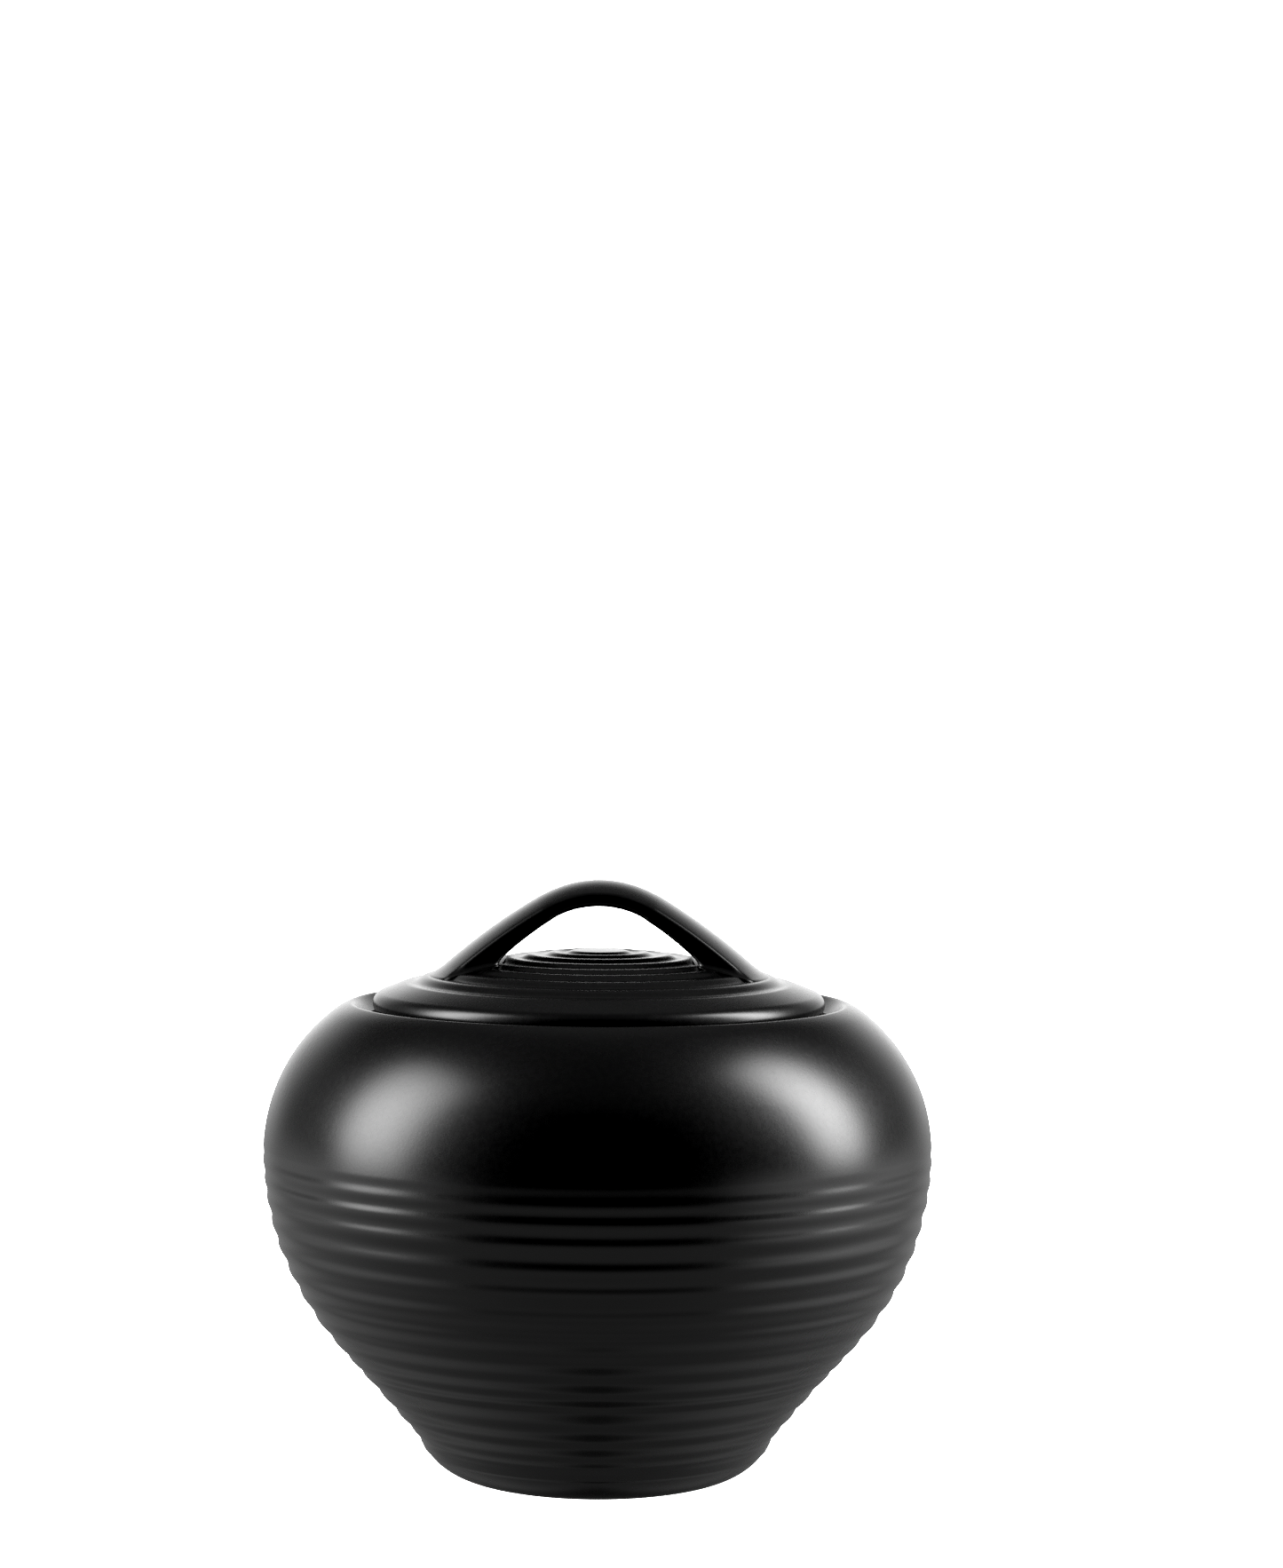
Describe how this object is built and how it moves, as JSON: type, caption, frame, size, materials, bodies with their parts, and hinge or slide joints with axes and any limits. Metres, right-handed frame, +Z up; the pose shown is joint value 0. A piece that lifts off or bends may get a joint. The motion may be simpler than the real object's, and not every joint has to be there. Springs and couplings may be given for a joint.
{
  "type": "sugar bowl",
  "caption": "Round covered sugar bowl of satin black stoneware, ringed below the shoulder, with a sunken domed lid and an arched strap handle.",
  "frame": {"origin": "centre of the foot, on the surface that the bowl stands on", "axes": "+Z up along the axis the bowl was thrown on, X along the lid's strap handle, Y across it"},
  "size_m": [0.116, 0.116, 0.1034],
  "materials": {
    "black_glaze": "satin black stoneware glaze"
  },
  "bodies": {
    "bowl": {"bowl": "black_glaze"},
    "lid": {"lid": "black_glaze", "lid_handle": "black_glaze"}
  },
  "joints": [
    {"name": "lid_lift", "type": "slide", "parent": "bowl", "child": "lid", "axis": [0, 0, 1], "range_m": [0, 0.06]}
  ]
}
